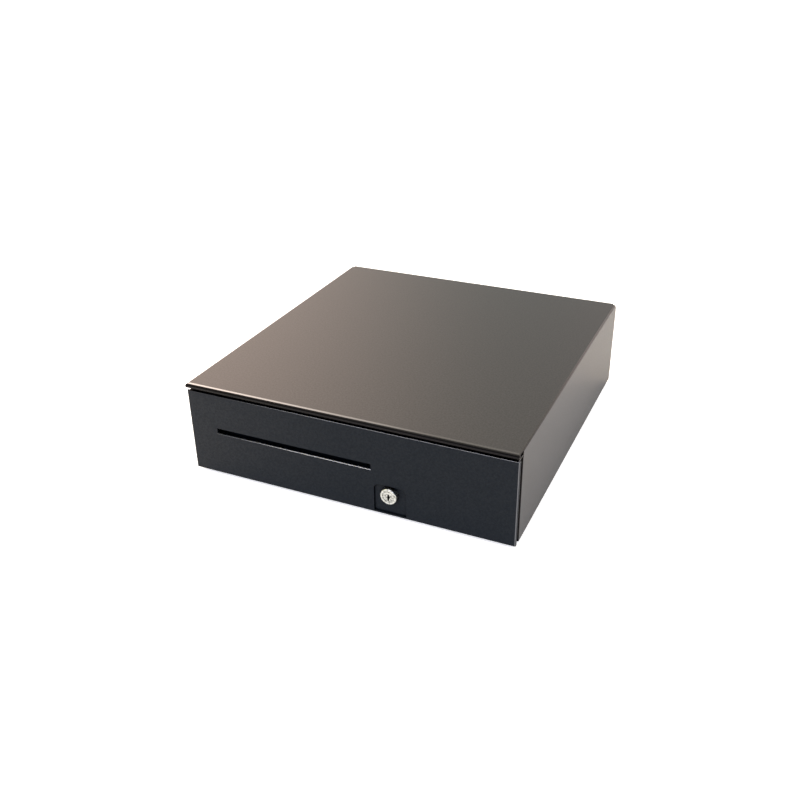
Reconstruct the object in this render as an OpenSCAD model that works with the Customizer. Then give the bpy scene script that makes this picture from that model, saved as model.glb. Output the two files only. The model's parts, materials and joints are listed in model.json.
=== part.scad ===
// Point-of-sale cash drawer: a steel case, a sliding drawer on ball slides with a front panel,
// key lock and slip slot, a note and coin till, and an electric latch behind the drawer.
// X is to the right, Y to the back and Z up. The origin is on the counter under the middle
// of the object, so the front panel faces -Y.

/* [Case] */
// Width of the case and of the front panel
case_w = 411; // [400:1:440]
// Depth from the front panel's face to the back of the case
case_d = 432; // [430:1:470]
// Height of the case, without its feet
case_h = 115.5; // [114:0.5:130]
// Thickness of the cover's painted sheet
cover_t = 1.2; // [1:0.1:1.4]
// Outside radius of the bends along the top edges
bend_r = 2.5; // [2:0.1:4]
// Distance from the panel's face to the front edges of the case sides
side_set_back = 10; // [10:0.5:13]
// Height of the rolled lip along the front of the top
lip_h = 6.2; // [5.6:0.1:6.4]
// How far the rolled lip stands in front of the panel's face
lip_proud = 2; // [1:0.1:3]
// Height of the rubber feet below the case
foot_drop = 4.5; // [3.5:0.1:8]

/* [Front panel] */
// Height of the front panel
panel_h = 106; // [104:0.5:107]
// Thickness of the front panel's sheet
panel_t = 1.5; // [1.2:0.1:1.6]
// Depth of the panel's side flanges, from its face
panel_flange = 3.2; // [3:0.1:6]
// Length of the slot for slips and cheques
slot_w = 203; // [180:1:210]
// Height of the slot
slot_h = 7.2; // [5:0.1:8]
// Height of the slot's middle above the case's bottom edge
slot_z = 58.4; // [57:0.1:62]
// Place of the slot's middle across the panel
slot_x = -66.9; // [-75:0.1:-60]

/* [Lock] */
// Place of the lock across the panel
lock_x = 57.5; // [54:0.5:62]
// Height of the lock's axis above the case's bottom edge
lock_z = 27; // [25:0.5:27]
// Diameter of the lock's bright bezel
bezel_d = 19.8; // [17:0.1:20]
// How far the lock's face stands in front of the panel's face
lock_proud = 4.4; // [3:0.1:5]
// Depth of the pressed recess around the lock
recess_depth = 2; // [1.4:0.1:2.2]
// Turn clearance of the lock's plug, as a radius
plug_gap = 0.05; // [0.03:0.01:0.08]

/* [Drawer] */
// Travel of the drawer
travel = 280; // [250:5:280]
// Height of the drawer tray's sides
tray_h = 83; // [80:1:86]
// Thickness of the tray's sheet
tray_t = 1; // [0.8:0.1:1.2]
// Thickness of one ball slide, from the case to the drawer
slide_t = 12.7; // [12.7:0.1:13.5]
// Height of one ball slide
slide_h = 35; // [34:1:38]
// Diameter of the slide's balls
ball_d = 5; // [5:0.1:5.2]

/* [Till] */
// Number of coin cups
coin_cups = 5; // [4:1:6]
// Depth of the till from front to back
till_d = 316; // [310:1:318]
// Height of the till
till_h = 58; // [56:1:60]

/* [Latch] */
// Height of the latch lever's pivot above the case's bottom edge
latch_z = 58; // [58:0.5:59]
// Diameter of the latch lever's pivot pin
latch_pin_d = 4; // [3.8:0.1:4.2]
// Diameter of the solenoid's plunger
plunger_d = 10; // [9.6:0.1:10]

/* [Hidden] */

$fn = 48;
eps = 0.01;                               // overshoot of a cut past a face
part_gap = 0.1;                           // gap between pieces that sit side by side
bore_play = 0.02;                         // a screw, rivet or rod is thinner than its bore by this
half_w = case_w / 2;
inner_x = half_w - cover_t;               // inside faces of the case sides
m4_r = 2;
m4_hole_r = 2.15;
m4_head_r = 3.8;
m4_head_h = 2;
m3_r = 1.5;
m3_hole_r = 1.6;
m3_head_r = 2.8;
m3_head_h = 1.8;
panel_corner_r = 1.6;                     // outside radius of the front panel's bends
panel_hem_d = 9;                          // depth of its hems at the top and bottom
mid_y = (case_d + m4_head_h - lock_proud) / 2;

// Case
lip_r = lip_h / 2;
lip_y = lip_r - lip_proud;                // middle of the lip's roll
lip_z = case_h - lip_r;
side_hem_d = 10;                          // depth of the hems on the side fronts
bottom_flange = 16;
back_flange = 12;
corner_relief = 4;
base_t = 1;
base_z = cover_t;                         // underside of the base pan
base_top = base_z + base_t;
base_front_y = side_set_back + cover_t + side_hem_d + 0.8;
base_front_h = 6.5;                       // top of the base pan's front flange
base_side_h = 14;                         // top of its side flanges
base_x = inner_x - 0.15;
rear_t = 1.2;
rear_y = case_d - cover_t - rear_t;       // front face of the rear panel
rear_foot_spans = [[-165, -36], [36, 90]];  // the rear panel's feet, clear of latch and board
base_screw_ys = [60, case_d / 2, case_d - 52];
base_screw_x = half_w - 9;
foot_x = half_w - 40;
foot_ys = [46, case_d - 38];
foot_r = 11;
mount_x = 130;                            // half the spacing of the bench holes
mount_ys = [110, 330];
mount_hole_r = 2.75;

// Slides
slide_x = inner_x - slide_t;              // outside faces of the drawer tray
slide_z = 40;
slide_y0 = 24;
case_member_len = 400;
slide_web_t = 1.5;                        // thickness of both members' webs
case_rail_h = 2.2;                        // the case member's rails above and below
case_rail_u = 9.8;                        // their depth from the case wall
drawer_rail_z = [9, 11.4];                // the drawer member's rail, from mid-height
drawer_rail_u = 3.2;
ball_r = ball_d / 2;
ball_u = 5.5;                             // ball centres from the case wall
ball_z = 13.2;
groove_r = ball_r + 0.06;
retainer_len = 70;
drawer_member_len = travel + retainer_len;
retainer_y0 = slide_y0 + travel / 2;      // it moves half as far as the drawer
ball_count = 6;
ball_pitch = 11;
slide_screw_ys = [44, 190, 350];

// Drawer tray
tray_z = 9;
tray_y1 = 374;                            // back of the tray
tray_top = tray_z + tray_h;
front_wall_h = 88;
rear_wall_h = 71;
tray_hem = 5;
ledge_z = 29;
ledge_ys = [50, 180, 310];

// Lock
recess_half = 19.7;
recess_z0 = 2;
recess_top = 38;
recess_r = 7;
barrel_r = 7.9;
plug_r = 6;
bezel_round = 0.9;                        // rounding of the bezel's front edge
plug_square = 3;                          // half the width of the square that carries the cam
barrel_y1 = 21;
cam_y = 22.6;
cam_t = 2.4;
cam_len = 21;
cam_w = 9;
keeper_t = 1.5;
rivet_r = 1.6;

// Slot
slot_x0 = slot_x - slot_w / 2;
slot_x1 = slot_x + slot_w / 2;

// Till
note_bays = 5;                            // each has its own note_arm node
till_half = slide_x - tray_t - 3.1;
till_y0 = 30;
till_y1 = till_y0 + till_d;
till_z = ledge_z + tray_t;
till_top = till_z + till_h;
wall = 2.5;
coin_d = 130;                             // depth of the coin end, from the till's front
cross_y = till_y0 + coin_d;
bay_pitch = (2 * till_half - wall) / note_bays;
arm_y = till_y1 - 8;                      // axis of the note arms
arm_z = till_top - 8;
arm_rod_r = 2;
arm_len = 102;
arm_w = 24;
lug_t = 6;

// Latch
pivot_y = 412;
pin_r = latch_pin_d / 2;
plunger_y = 398;
plunger_r = plunger_d / 2;
plunger_pin_r = 1.5;
plunger_bottom = latch_z - 3.5;
lever_t = 3;
cheek_x = 14.5;                           // inside faces of the latch bracket
cheek_t = 1.5;
bracket_y0 = 386;
bracket_y1 = 424;
bracket_top = 97;
coil_z0 = 66;
coil_z1 = 96;
strike_z = latch_z - 11.5;
strike_t = 1.5;
switch_y = pivot_y + 5.5;
switch_z = 65;
blade_x = -10.2;                          // axis of the switch blade
blade_z = latch_z + 4.35;
blade_pin_r = 0.4;

// Ejector
eject_x = -90;
eject_z = 45;
eject_rod_r = 4;
eject_y0 = tray_y1 + 0.2;
eject_plates = [391, 412];

// Control board
board_x0 = 95;
board_x1 = 155;
board_y0 = 385;
board_y1 = 425;
board_z = 8.2;
board_t = 1.6;
jack_x = 125;
jack_w = 13;
jack_h = 13;
jack_y0 = 415;

// ---------- helpers ----------

// Moves a piece from the case frame (panel's face at y = 0, bottom edge at z = 0) to the part's.
module place() {
  translate([0, -mid_y, foot_drop]) children();
}

// A box between two corners
module box(a, b) {
  translate(a) cube(b - a);
}

// Extrudes an outline drawn in X and Z from y0 to y1.
module along_y(y0, y1) {
  translate([0, y1, 0]) rotate([90, 0, 0]) linear_extrude(y1 - y0) children();
}

// Extrudes an outline drawn in Y and Z from x0 to x1.
module along_x(x0, x1) {
  translate([x0, 0, 0]) rotate([90, 0, 90]) linear_extrude(x1 - x0) children();
}

// A round bar along Y, from y0 to y1
module bar_y(x, z, r, y0, y1) {
  translate([x, y1, z]) rotate([90, 0, 0]) cylinder(r = r, h = y1 - y0);
}

// A round bar along X, from x0 to x1
module bar_x(y, z, r, x0, x1) {
  translate([x0, y, z]) rotate([0, 90, 0]) cylinder(r = r, h = x1 - x0);
}

module rect(a, b) {
  translate(a) square(b - a);
}

// Two equal rectangles, one above and one below the middle
module rect_pair(a, b) {
  rect(a, b);
  rect([a[0], -b[1]], [b[0], -a[1]]);
}

// A rectangle with four round corners, from corner a to corner b
module round_rect(a, b, r) {
  rect([a[0] + r, a[1]], [b[0] - r, b[1]]);
  rect([a[0], a[1] + r], [b[0], b[1] - r]);
  for (x = [a[0] + r, b[0] - r], y = [a[1] + r, b[1] - r]) translate([x, y]) circle(r = r);
}

// A rectangle whose two lower corners are round
module cup_rect(a, b, r) {
  rect([a[0] + r, a[1]], [b[0] - r, b[1]]);
  rect([a[0], a[1] + r], b);
  for (x = [a[0] + r, b[0] - r]) translate([x, a[1] + r]) circle(r = r);
}

// A rectangle whose two upper corners are round
module arch_rect(a, b, r) {
  rect([a[0] + r, a[1]], [b[0] - r, b[1]]);
  rect(a, [b[0], b[1] - r]);
  for (x = [a[0] + r, b[0] - r]) translate([x, b[1] - r]) circle(r = r);
}

// A pan-head screw with a cross recess: its head sits on z = 0 and its shank points down.
module pan_screw(r, len, head_r, head_h) {
  difference() {
    union() {
      cylinder(r = head_r, h = head_h * 0.6);
      translate([0, 0, head_h * 0.6]) cylinder(r1 = head_r, r2 = head_r * 0.7, h = head_h * 0.4);
      translate([0, 0, -len]) cylinder(r = r, h = len + eps);
    }
    for (a = [0, 90]) rotate(a) box([-r * 0.9, -0.35, head_h * 0.45], [r * 0.9, 0.35, head_h + 1]);
  }
}

// A countersunk screw: its flat head ends at z = 0 and its shank points down.
module flat_screw(r, len, head_r, head_h) {
  difference() {
    union() {
      translate([0, 0, -head_h]) cylinder(r1 = r, r2 = head_r, h = head_h);
      translate([0, 0, -len]) cylinder(r = r, h = len);
    }
    for (a = [0, 90]) rotate(a) box([-r, -0.35, -head_h * 0.6], [r, 0.35, 1]);
  }
}

// Points of a ring of n around the place p of a wire, in the plane of the directions u and v
function ring(p, u, v, r, n) = [for (k = [0:n - 1]) let (a = 360 * k / n)
  p + r * (cos(a) * u + sin(a) * v)
];

// A closed skin over a row of rings that all have the same number of points
module skin(rings) {
  last = len(rings) - 1;
  n = len(rings[0]);
  walls = [for (i = [0:last - 1], k = [0:n - 1]) [
    i * n + k,
    (i + 1) * n + k,
    (i + 1) * n + (k + 1) % n,
    i * n + (k + 1) % n
  ]];
  first_end = [[for (k = [0:n - 1]) k]];
  last_end = [[for (k = [n - 1:-1:0]) last * n + k]];
  polyhedron([for (s = rings, p = s) p], concat(walls, first_end, last_end), 4);
}

// A coil spring along Z, with its first turn at z = 0
module coil_spring(r, wire_r, turns, length, steps = 20, sides = 8) {
  count = turns * steps;
  skin([for (i = [0:count]) let (out = [cos(360 * i / steps), sin(360 * i / steps), 0]) ring(
    r * out + [0, 0, length * i / count],
    out,
    [0, 0, 1],
    wire_r,
    sides
  )]);
}

function unit(v) = v / norm(v);

// Points of a bend that leaves the line from a to p at the distance d before p and turns to b
function bend(a, p, b, d, n) = [for (k = [0:n]) let (t = k / n)
  (1 - t) ^ 2 * (p + d * unit(a - p)) + 2 * t * (1 - t) * p + t ^ 2 * (p + d * unit(b - p))
];

function bent_path(places, d, n) = concat(
  [places[0]],
  [for (i = [1:len(places) - 2]) each bend(places[i - 1], places[i], places[i + 1], d, n)],
  [places[len(places) - 1]]
);

function heading(path, i) = unit(path[min(i + 1, len(path) - 1)] - path[max(i - 1, 0)]);

// A wire through a list of places, bent with a radius near d. No run may be parallel to aside.
module wire(places, r, d = 4, sides = 8, aside = [0.5, 0.8, 0.3]) {
  path = bent_path(places, d, 5);
  skin([for (i = [0:len(path) - 1]) let (t = heading(path, i), u = unit(cross(t, aside)))
    ring(path[i], u, cross(u, t), r, sides)
  ]);
}

// ---------- case ----------

module cover_outline() {
  difference() {
    arch_rect([-half_w, 0], [half_w, case_h], bend_r);
    arch_rect([-inner_x, -1], [inner_x, case_h - cover_t], bend_r - cover_t);
  }
}

module lip_outline() {
  difference() {
    union() {
      translate([lip_y, lip_z]) circle(r = lip_r);
      rect([lip_y, lip_z - lip_r], [9, lip_z + lip_r]);
      rect([lip_y, case_h - cover_t], [side_set_back + 2, case_h]);
    }
    translate([lip_y, lip_z]) circle(r = lip_r - cover_t);
    rect([lip_y, lip_z - lip_r + cover_t], [side_set_back + 3, case_h - cover_t]);
  }
}

module side_hem(side) {
  x = side * (half_w - cover_t);
  linear_extrude(case_h - cover_t - bend_r) {
    translate([x, side_set_back + cover_t]) circle(r = cover_t);
    translate([x - cover_t, side_set_back + cover_t]) square([2 * cover_t, side_hem_d]);
  }
}

module case_cover() place() color("#2c2e31") difference() {
  union() {
    along_y(side_set_back + cover_t, case_d) cover_outline();
    intersection() {
      along_x(-half_w, half_w) lip_outline();
      along_y(-lip_proud - 1, case_d) arch_rect([-half_w, 0], [half_w, case_h], bend_r);
    }
    for (side = [-1, 1]) {
      side_hem(side);
      mirror([side < 0 ? 1 : 0, 0, 0]) {
        box([half_w - bottom_flange, side_set_back + 2, 0], [half_w - cover_t + eps, case_d, cover_t]);
        box([half_w - back_flange, case_d - cover_t, 14],
            [half_w - cover_t + eps, case_d, case_h - 14]);
      }
    }
    box([14 - half_w, case_d - cover_t, case_h - back_flange],
        [half_w - 14, case_d, case_h - cover_t + eps]);
  }
  for (side = [-1, 1]) {
    translate([side * half_w, case_d, case_h]) cube(2 * corner_relief, center = true);
    for (y = base_screw_ys) {
      translate([side * base_screw_x, y, -1]) cylinder(r = m4_hole_r, h = cover_t + 2);
    }
  }
  for (p = rear_screw_places) bar_y(p[0], p[1], m4_hole_r, case_d - cover_t - 1, case_d + 1);
}

rear_screw_places = concat(
  [for (x = [-140, 0, 140]) [x, case_h - 6.5]],
  [for (side = [-1, 1], z = [28, 84]) [side * (half_w - 6.5), z]]
);

module base_pan() place() color("#8d9094") difference() {
  union() {
    box([-base_x, base_front_y, base_z], [base_x, rear_y + rear_t, base_top]);
    box([-base_x, base_front_y, base_z], [base_x, base_front_y + base_t, base_front_h]);
    for (side = [-1, 1]) {
      x = side * (base_x - base_t / 2);
      box([x - base_t / 2, base_front_y, base_z], [x + base_t / 2, rear_y - 1, base_side_h]);
    }
    for (p = board_posts) translate([p[0], p[1], base_z]) cylinder(r = 3.5, h = board_z - base_z);
  }
  for (side = [-1, 1]) {
    for (y = base_screw_ys) {
      translate([side * base_screw_x, y, 0]) cylinder(r = m4_r, h = 5);
    }
    for (y = foot_ys) translate([side * foot_x, y, 0]) cylinder(r = m4_hole_r, h = 5);
    for (y = mount_ys) translate([side * mount_x, y, 0]) cylinder(r = mount_hole_r, h = 5);
  }
  for (p = board_posts) translate([p[0], p[1], 3]) cylinder(r = 1.25, h = 9);
  for (p = bracket_screw_places) translate([p[0], p[1], 0]) cylinder(r = m3_r, h = 5);
  for (p = ejector_screw_places) translate([p[0], p[1], 0]) cylinder(r = m3_r, h = 5);
  for (x = keeper_rivet_xs) translate([x, keeper_rivet_y, 0]) cylinder(r = rivet_r, h = 5);
  box([-4, pivot_y + 2, 0], [4, pivot_y + 8, 5]);
  box([lock_x - 8, base_front_y - 1, base_top], [lock_x + 14, base_front_y + base_t + 1, base_side_h]);
}

board_posts = [for (x = [board_x0 + 4, board_x1 - 4], y = [board_y0 + 4, board_y1 - 4]) [x, y]];
bracket_screw_places = [for (x = [-23, 23], y = [393, 417]) [x, y]];
ejector_screw_places = [for (x = [-8, 8]) [eject_x + x, 402]];
keeper_rivet_xs = [lock_x - 8, lock_x + 16];
keeper_rivet_y = base_front_y + 12;

module rear_panel() place() color("#303236") difference() {
  union() {
    box([0.2 - inner_x, rear_y, base_top], [inner_x - 0.2, rear_y + rear_t, case_h - cover_t - 0.2]);
    for (span = rear_foot_spans) {
      box([span[0], rear_y - 10, base_top], [span[1], rear_y + eps, base_top + rear_t]);
    }
  }
  for (p = rear_screw_places) bar_y(p[0], p[1], m4_r, rear_y - 1, case_d);
  box([jack_x - jack_w / 2 - 0.5, rear_y - 11, board_z + board_t - 1],
      [jack_x + jack_w / 2 + 0.5, case_d, board_z + board_t + jack_h + 0.5]);
  for (side = [-1, 1]) translate([side * (inner_x - 1.3), rear_y - 1, 0]) {
    cube([3, 4, 2 * (base_side_h + 1)], center = true);
  }
}

module rear_screws() place() color("silver") {
  for (p = rear_screw_places) translate([p[0], case_d, p[1]]) rotate([-90, 0, 0]) {
    pan_screw(m4_r - bore_play, 8, m4_head_r, m4_head_h);
  }
}

module base_screws() place() color("silver") {
  for (side = [-1, 1], y = base_screw_ys) {
    translate([side * base_screw_x, y, 0]) rotate([180, 0, 0]) {
      pan_screw(m4_r - bore_play, 5, m4_head_r, m4_head_h);
    }
  }
}

module rubber_feet() place() color("#17181a") {
  for (side = [-1, 1], y = foot_ys) translate([side * foot_x, y, 0]) difference() {
    union() {
      translate([0, 0, -foot_drop]) cylinder(r1 = foot_r - 1.6, r2 = foot_r, h = foot_drop);
      cylinder(r = foot_r, h = base_z);
    }
    translate([0, 0, 1.5 - foot_drop]) cylinder(r = m4_r, h = 10);
    translate([0, 0, -foot_drop - 1]) cylinder(r = foot_r - 6, h = 1.8);
  }
}

module foot_screws() place() color("silver") {
  for (side = [-1, 1], y = foot_ys) {
    translate([side * foot_x, y, base_top]) pan_screw(m4_r - bore_play, 4.5, m4_head_r, m4_head_h);
  }
}

// ---------- slides ----------

// Draws one side's slide piece in its own frame: X away from the case wall, Z from mid-height.
module on_side(side) {
  translate([side * inner_x, 0, slide_z]) mirror([side > 0 ? 1 : 0, 0, 0]) children();
}

module ball_grooves(y0, y1) {
  for (z = [-ball_z, ball_z]) bar_y(ball_u, z, groove_r, y0 - 1, y1 + 1);
}

module slide_case_member(side) {
  y1 = slide_y0 + case_member_len;
  on_side(side) difference() {
    along_y(slide_y0, y1) {
      rect([0.02, -slide_h / 2], [slide_web_t, slide_h / 2]);
      rect_pair([0.02, slide_h / 2 - case_rail_h], [case_rail_u, slide_h / 2]);
      rect_pair([case_rail_u - 1.2, slide_h / 2 - case_rail_h - 1.4], [case_rail_u, slide_h / 2]);
    }
    ball_grooves(slide_y0, y1);
    for (y = slide_screw_ys) translate([slide_web_t, y, 0]) rotate([0, -90, 0]) {
      cylinder(r1 = 3.6, r2 = m4_r, h = slide_web_t);
      cylinder(r = m4_r, h = 3);
    }
  }
}

module slide_case_member_left() place() color("#b9bcc0") slide_case_member(-1);
module slide_case_member_right() place() color("#b9bcc0") slide_case_member(1);

module slide_case_screws() place() color("silver") {
  for (side = [-1, 1], y = slide_screw_ys) on_side(side) {
    translate([slide_web_t - 0.02, y, 0]) rotate([0, 90, 0]) flat_screw(m4_r - 0.05, 1.46, 3.5, 1.44);
  }
}

module slide_drawer_member(side) {
  y1 = slide_y0 + drawer_member_len;
  on_side(side) difference() {
    along_y(slide_y0, y1) {
      rect([slide_t - slide_web_t, 0.1 - drawer_rail_z[1]], [slide_t - 0.02, drawer_rail_z[1] - 0.1]);
      rect_pair([drawer_rail_u, drawer_rail_z[0]], [slide_t - 1, drawer_rail_z[1]]);
    }
    ball_grooves(slide_y0, y1);
    for (y = slide_screw_ys) translate([slide_t, y, 0]) rotate([0, -90, 0]) {
      cylinder(r = m4_r, h = 5, center = true);
    }
  }
}

module slide_drawer_member_left() place() color("#c3c6ca") slide_drawer_member(-1);
module slide_drawer_member_right() place() color("#c3c6ca") slide_drawer_member(1);

module slide_drawer_screws() place() color("silver") {
  for (side = [-1, 1], y = slide_screw_ys) on_side(side) {
    translate([slide_t - slide_web_t, y, 0]) rotate([0, -90, 0]) {
      pan_screw(m4_r - 0.05, 4.5, 3.6, 1.8);
    }
  }
}

module ball_retainer(side) {
  y1 = retainer_y0 + retainer_len;
  on_side(side) difference() {
    along_y(retainer_y0, y1) {
      rect([1.9, -13.6], [2.5, 13.6]);
      rect_pair([1.9, 12.8], [8.3, 13.6]);
    }
    for (i = [0:ball_count - 1]) {
      translate([ball_u, ball_place(i), -20]) cylinder(r = ball_r + 0.05, h = 40);
    }
  }
}

function ball_place(i) = retainer_y0 + retainer_len / 2 + (i - (ball_count - 1) / 2) * ball_pitch;

module slide_balls(side) {
  on_side(side) for (i = [0:ball_count - 1], z = [-ball_z, ball_z]) {
    translate([ball_u, ball_place(i), z]) sphere(r = ball_r, $fn = 32);
  }
}

module ball_retainer_left() place() color("#9da1a6") ball_retainer(-1);
module ball_retainer_right() place() color("#9da1a6") ball_retainer(1);
module slide_balls_left() place() color("#e3e5e8") slide_balls(-1);
module slide_balls_right() place() color("#e3e5e8") slide_balls(1);

// ---------- drawer ----------

panel_nut_places = [for (x = [-170, 0, 170], z = [22, 84]) [x, z]];

module drawer_tray() place() color("#76797d") difference() {
  union() {
    box([-slide_x, panel_t, tray_z], [slide_x, tray_y1, tray_z + tray_t]);
    box([-slide_x, panel_t, tray_z], [slide_x, panel_t + tray_t, tray_z + front_wall_h]);
    box([-slide_x, tray_y1 - tray_t, tray_z], [slide_x, tray_y1, tray_z + rear_wall_h]);
    for (side = [-1, 1]) mirror([side < 0 ? 1 : 0, 0, 0]) {
      box([slide_x - tray_t, panel_t, tray_z], [slide_x, tray_y1, tray_top]);
      box([slide_x - tray_t, slide_y0, tray_top - tray_t], [slide_x + tray_hem, tray_y1, tray_top]);
      for (y = ledge_ys) {
        box([slide_x - 9, y, ledge_z], [slide_x - tray_t + eps, y + 24, ledge_z + tray_t]);
      }
    }
  }
  along_y(0, panel_t + 3) round_rect([slot_x0 - 4, slot_z - 7], [slot_x1 + 4, slot_z + 7], 2);
  along_y(0, panel_t + 3) {
    arch_rect([lock_x - recess_half - 3, 0], [lock_x + recess_half + 3, recess_top + 3], 8);
  }
  for (p = panel_nut_places) bar_y(p[0], p[1], m4_hole_r, 0, panel_t + 3);
  box([lock_x - 7, cam_y - 2.5, tray_z - 1], [lock_x + 20, cam_y + cam_t + 2.5, tray_z + 2]);
  for (side = [-1, 1], y = slide_screw_ys) on_side(side) {
    translate([slide_t - 1, y, 0]) rotate([0, 90, 0]) cylinder(r = m4_r, h = 4);
  }
  for (x = strike_rivet_xs) bar_y(x, strike_z - 9, rivet_r, tray_y1 - 3, tray_y1 + 1);
}

module front_panel() place() color("#26292d") difference() {
  union() {
    linear_extrude(panel_h) difference() {
      panel_plan(0);
      panel_plan(panel_t);
    }
    box([-half_w + 2, panel_t - eps, 0], [half_w - 2, panel_hem_d, panel_t]);
    box([-half_w + 2, panel_t - eps, panel_h - panel_t], [half_w - 2, panel_hem_d, panel_h]);
    along_y(panel_t - eps, panel_t + recess_depth) recess_outline(panel_t);
    for (p = panel_nut_places) bar_y(p[0], p[1], m4_r, panel_t - eps, panel_t + 8);
  }
  along_y(-1, recess_depth) recess_outline(0);
  along_y(-1, panel_t + 4) rect([slot_x0, slot_z - slot_h / 2], [slot_x1, slot_z + slot_h / 2]);
  bar_y(lock_x, lock_z, barrel_r + part_gap, -1, 6);
}

// The panel's outline from above: a shallow channel whose front corners are round
module panel_plan(inset) {
  r = panel_corner_r - inset;
  x = half_w - inset;
  translate([r - x, inset]) square([2 * (x - r), panel_flange - inset + (inset > 0 ? 1 : 0)]);
  translate([-x, inset + r]) square([2 * x, panel_flange - inset - r + (inset > 0 ? 1 : 0)]);
  for (side = [-1, 1]) translate([side * (x - r), inset + r]) circle(r = r);
}

module recess_outline(grow) {
  half = recess_half + grow;
  arch_rect([lock_x - half, recess_z0 - grow], [lock_x + half, recess_top + grow], recess_r + grow);
}

module panel_nuts() place() color("silver") {
  for (p = panel_nut_places) translate([p[0], panel_t + tray_t, p[1]]) rotate([-90, 0, 0]) {
    difference() {
      union() {
        cylinder(r = 4.4, h = 0.8);
        cylinder(r = 4, h = 3.6, $fn = 6);
      }
      translate([0, 0, -1]) cylinder(r = m4_r + 0.03, h = 6);
    }
  }
}

module lock_body() place() color("#d9dbdd") difference() {
  union() {
    translate([lock_x, 0, lock_z]) rotate([90, 0, 0]) rotate_extrude() {
      rect([0, -recess_depth], [bezel_d / 2, lock_proud - bezel_round]);
      rect([0, 0], [bezel_d / 2 - bezel_round, lock_proud]);
      translate([bezel_d / 2 - bezel_round, lock_proud - bezel_round]) circle(r = bezel_round, $fn = 32);
    }
    bar_y(lock_x, lock_z, barrel_r, recess_depth - eps, barrel_y1);
  }
  bar_y(lock_x, lock_z, plug_r + plug_gap, -lock_proud - 1, barrel_y1 + 1);
  bar_y(lock_x, lock_z, plug_r + 1, -lock_proud - 1, -lock_proud + 0.4);
}

module lock_plug() place() color("#e4e6e8") difference() {
  union() {
    bar_y(lock_x, lock_z, plug_r, -lock_proud + 0.3, barrel_y1 + 0.4);
    box([lock_x - plug_square, barrel_y1, lock_z - plug_square],
        [lock_x + plug_square, cam_y + cam_t, lock_z + plug_square]);
  }
  box([lock_x - 1.1, -lock_proud - 1, lock_z - 5.2], [lock_x + 1.1, 10, lock_z + 3.4]);
  box([lock_x - 1.1, -lock_proud - 1, lock_z - 1.4], [lock_x + 2.3, 10, lock_z + 0.6]);
  bar_y(lock_x, lock_z, 1.25, cam_y - 3, cam_y + cam_t + 1);
}

module lock_nut() place() color("#c9ccd0") {
  y0 = panel_t + recess_depth;
  translate([lock_x, y0, lock_z]) rotate([-90, 0, 0]) difference() {
    cylinder(r = 11, h = 3.5, $fn = 6);
    translate([0, 0, -1]) cylinder(r = barrel_r + 0.05, h = 6);
  }
}

module lock_cam() place() color("#c9ccd0") difference() {
  along_y(cam_y, cam_y + cam_t) translate([lock_x, lock_z]) {
    circle(r = 6.2);
    translate([0, -cam_w / 2]) square([cam_len - 3, cam_w]);
    round_rect([4, -cam_w / 2], [cam_len, cam_w / 2], 2.5);
  }
  hole = plug_square + 0.04;
  box([lock_x - hole, cam_y - 1, lock_z - hole], [lock_x + hole, cam_y + cam_t + 1, lock_z + hole]);
}

module cam_screw() place() color("silver") {
  translate([lock_x, cam_y + cam_t, lock_z]) rotate([-90, 0, 0]) pan_screw(1.2, 4.5, 5, 1.8);
}

module lock_keeper() place() color("#8f9297") difference() {
  union() {
    box([lock_x - 13, cam_y - 3.2, base_top], [lock_x + 22, keeper_rivet_y + 5, base_top + keeper_t]);
    box([lock_x - 3, cam_y - 3.2, base_top], [lock_x + 12, cam_y - 3.2 + keeper_t, tray_z - 1]);
  }
  box([lock_x - 14, base_front_y - 5, 0], [lock_x - 3 - eps, base_front_y + base_t + part_gap, 12]);
  box([lock_x + 12 + eps, base_front_y - 5, 0], [lock_x + 23, base_front_y + base_t + part_gap, 12]);
  for (x = keeper_rivet_xs) translate([x, keeper_rivet_y, 0]) cylinder(r = rivet_r, h = 9);
}

module keeper_rivets() place() color("silver") {
  for (x = keeper_rivet_xs) translate([x, keeper_rivet_y, base_z]) {
    cylinder(r = rivet_r - bore_play, h = base_t + keeper_t);
    translate([0, 0, base_t + keeper_t]) cylinder(r1 = 3, r2 = 2.2, h = 1.2);
  }
}

module slip_guide() place() color("#5c5f63") {
  y0 = panel_t + tray_t;
  y1 = y0 + 22;
  guide_top = slot_z + 18.7;
  along_x(slot_x0 - 8, slot_x1 - 4) {
    rect([y0, slot_z + 8], [y0 + tray_t, guide_top]);
    rect([y0, guide_top - tray_t], [y1, guide_top]);
    rect([y1 - tray_t, ledge_z], [y1, guide_top]);
    polygon([
      [y1 - 6, ledge_z - 6],
      [y1 - 5, ledge_z - 6],
      [y1, ledge_z + 1],
      [y1 - tray_t, ledge_z + 1]
    ]);
  }
}

module latch_strike() place() color("#b4b7bb") difference() {
  union() {
    box([-14, tray_y1, strike_z - 18], [14, tray_y1 + strike_t, strike_z + strike_t]);
    box([-10, tray_y1, strike_z], [10, tray_y1 + 23, strike_z + strike_t]);
  }
  box([-4, tray_y1 + 6, strike_z - 1], [4, tray_y1 + 16, strike_z + 3]);
  for (x = strike_rivet_xs) bar_y(x, strike_z - 9, rivet_r, tray_y1 - 1, tray_y1 + 3);
}

strike_rivet_xs = [-8, 8];

module strike_rivets() place() color("silver") {
  for (x = strike_rivet_xs) {
    bar_y(x, strike_z - 9, rivet_r - bore_play, tray_y1 - tray_t, tray_y1 + strike_t);
    bar_y(x, strike_z - 9, 3, tray_y1 + strike_t, tray_y1 + strike_t + 1);
  }
}

// ---------- till ----------

function bay_x(i) = -till_half + wall / 2 + (i + 0.5) * bay_pitch;

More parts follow.
